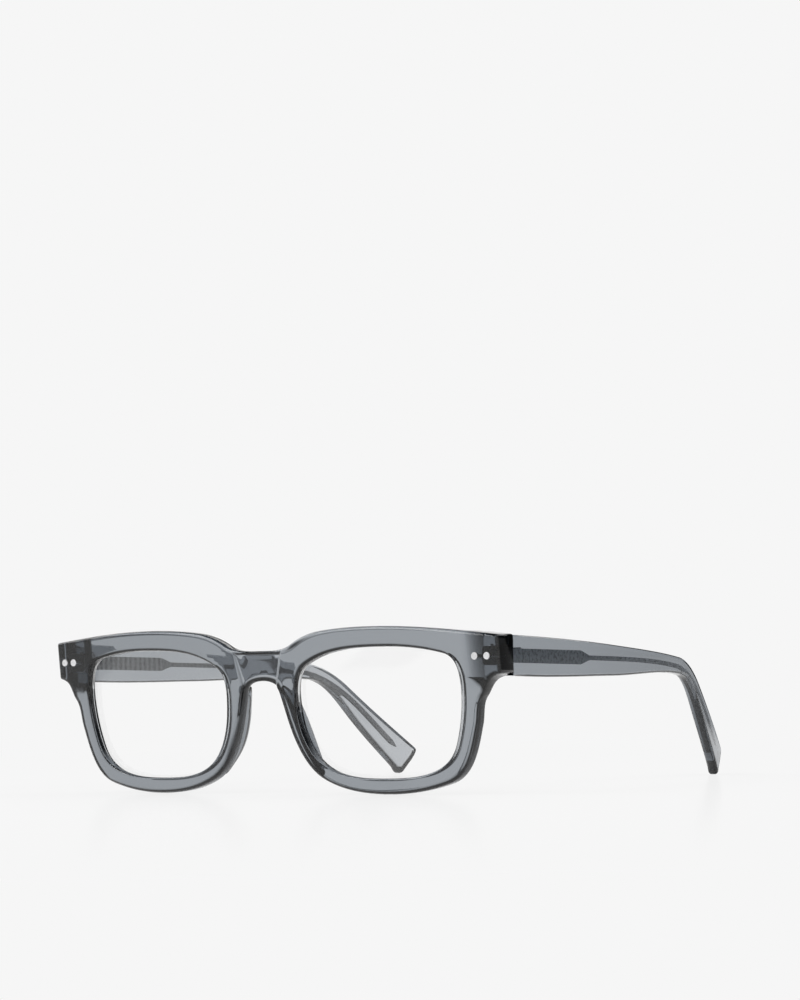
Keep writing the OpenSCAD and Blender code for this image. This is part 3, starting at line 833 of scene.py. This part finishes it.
def light_world():
    """Acetate shows pale walls square to the usual views, dark gaps between them and a dark ceiling.
    Reflections show a dark side, a bright strip and a ring of soft boxes overhead. The camera sees pale."""
    world = bpy.data.worlds.new("world")
    bpy.context.scene.world = world
    world.use_nodes = True
    tree = world.node_tree
    path = tree.nodes.new("ShaderNodeLightPath")
    z, turn, wall_gap, dark_side = around(tree, "Generated")
    rise = degrees(tree, math_node(tree, "ARCSINE", z))
    dark = math_node(tree, "MAXIMUM", wall_gap, eased(tree, rise, *DARK_CEILING))
    through = mixed(tree, dark, PALE, DARK)
    mirror = mixed(tree, dark_side, PALE, MIRROR_DARK)
    mirror = mixed(tree, window(tree, turn, *STRIP), mirror, MIRROR_STRIP)
    mirror = mixed(tree, eased(tree, rise, *MIRROR_CEILING), mirror, MIRROR_DARK)
    mirror = mixed(tree, window(tree, rise, *BOXES), mirror, MIRROR_BOXES)
    tone = by_ray(tree, path, "Glossy", DIFFUSE, mirror)
    tone = by_ray(tree, path, "Transmission", tone, through)
    tone = by_ray(tree, path, "Camera", tone, PALE)
    put(tree, tree.nodes["Background"].inputs["Color"], tone)


def shader_mix(tree, share, a, b):
    node = tree.nodes.new("ShaderNodeMixShader")
    for socket, value in zip(node.inputs, (share, a, b)):
        put(tree, socket, value)
    return node.outputs[0]


def floor_material():
    """Pale like the backdrop. Near the object a little of it takes shadow and a soft reflection, and far off
    it carries the dark gaps and the dark side for the rays that pass through or mirror off the object."""
    m, tree, shader = material("floor", Base_Color=(0.92, 0.92, 0.92, 1), Roughness=0.9)
    shader.inputs["Specular IOR Level"].default_value = 0.0
    glow = tree.nodes.new("ShaderNodeEmission")
    gloss = tree.nodes.new("ShaderNodeBsdfGlossy")
    gloss.inputs["Roughness"].default_value = 0.12
    gloss.inputs["Color"].default_value = (1, 1, 1, 1)
    place_at = tree.nodes.new("ShaderNodeTexCoord")
    away = tree.nodes.new("ShaderNodeVectorMath")
    away.operation = "LENGTH"
    put(tree, away.inputs[0], place_at.outputs["Object"])
    near_by = eased(tree, away.outputs["Value"], *NEAR_FLOOR)
    far_off = eased(tree, away.outputs["Value"], *FAR_FLOOR)
    path = tree.nodes.new("ShaderNodeLightPath")
    wall_gap, dark_side = around(tree, "Object")[2:]
    mirror = mixed(tree, math_node(tree, "MULTIPLY", far_off, dark_side), PALE, FLOOR_DARK)
    through = mixed(tree, math_node(tree, "MULTIPLY", far_off, wall_gap), PALE, DARK)
    tone = by_ray(tree, path, "Glossy", PALE, mirror)
    tone = by_ray(tree, path, "Transmission", tone, through)
    put(tree, glow.inputs["Color"], tone)
    surface = glow.outputs[0]
    for share, other in ((FLOOR_SHADE, shader), (FLOOR_GLOSS, gloss)):
        share = math_node(tree, "MULTIPLY", near_by, share)
        surface = shader_mix(tree, share, surface, other.outputs[0])
    put(tree, tree.nodes["Material Output"].inputs["Surface"], surface)
    return m


light_world()
floor_mesh = bpy.data.meshes.new("floor")
HALF_FLOOR, FLOOR_DROP = 6.0, 0.00005
corners = [(x * HALF_FLOOR, y * HALF_FLOOR, 0) for x, y in ((-1, -1), (1, -1), (1, 1), (-1, 1))]
floor_mesh.from_pydata(corners, [], [(0, 1, 2, 3)])
floor_mesh.materials.append(floor_material())
floor = bpy.data.objects.new("floor", floor_mesh)
floor.location.z = -FLOOR_DROP
bpy.context.scene.collection.objects.link(floor)


AIM = (0, 0, 0.02)


def soft_box(name, spot, size, power):
    """A light above the object, aimed at it, that the camera and the acetate don't see."""
    light = bpy.data.lights.new(name, "AREA")
    light.shape = "RECTANGLE"
    light.size, light.size_y = size
    light.energy = power
    obj = bpy.data.objects.new(name, light)
    obj.location = spot
    obj.rotation_mode = "QUATERNION"
    obj.rotation_quaternion = (Vector(AIM) - Vector(spot)).to_track_quat("-Z", "Y")
    bpy.context.scene.collection.objects.link(obj)
    obj.visible_camera = False
    obj.visible_transmission = False


soft_box("key", (-0.5, -0.7, 1.1), (0.9, 0.6), 6.0)
soft_box("fill", (0.9, 0.5, 0.9), (0.7, 0.7), 3.0)

scene = bpy.context.scene
scene.view_settings.view_transform = "Standard"
scene.cycles.max_bounces = 24
scene.cycles.transmission_bounces = 20
scene.cycles.glossy_bounces = 8
scene.cycles.transparent_max_bounces = 16
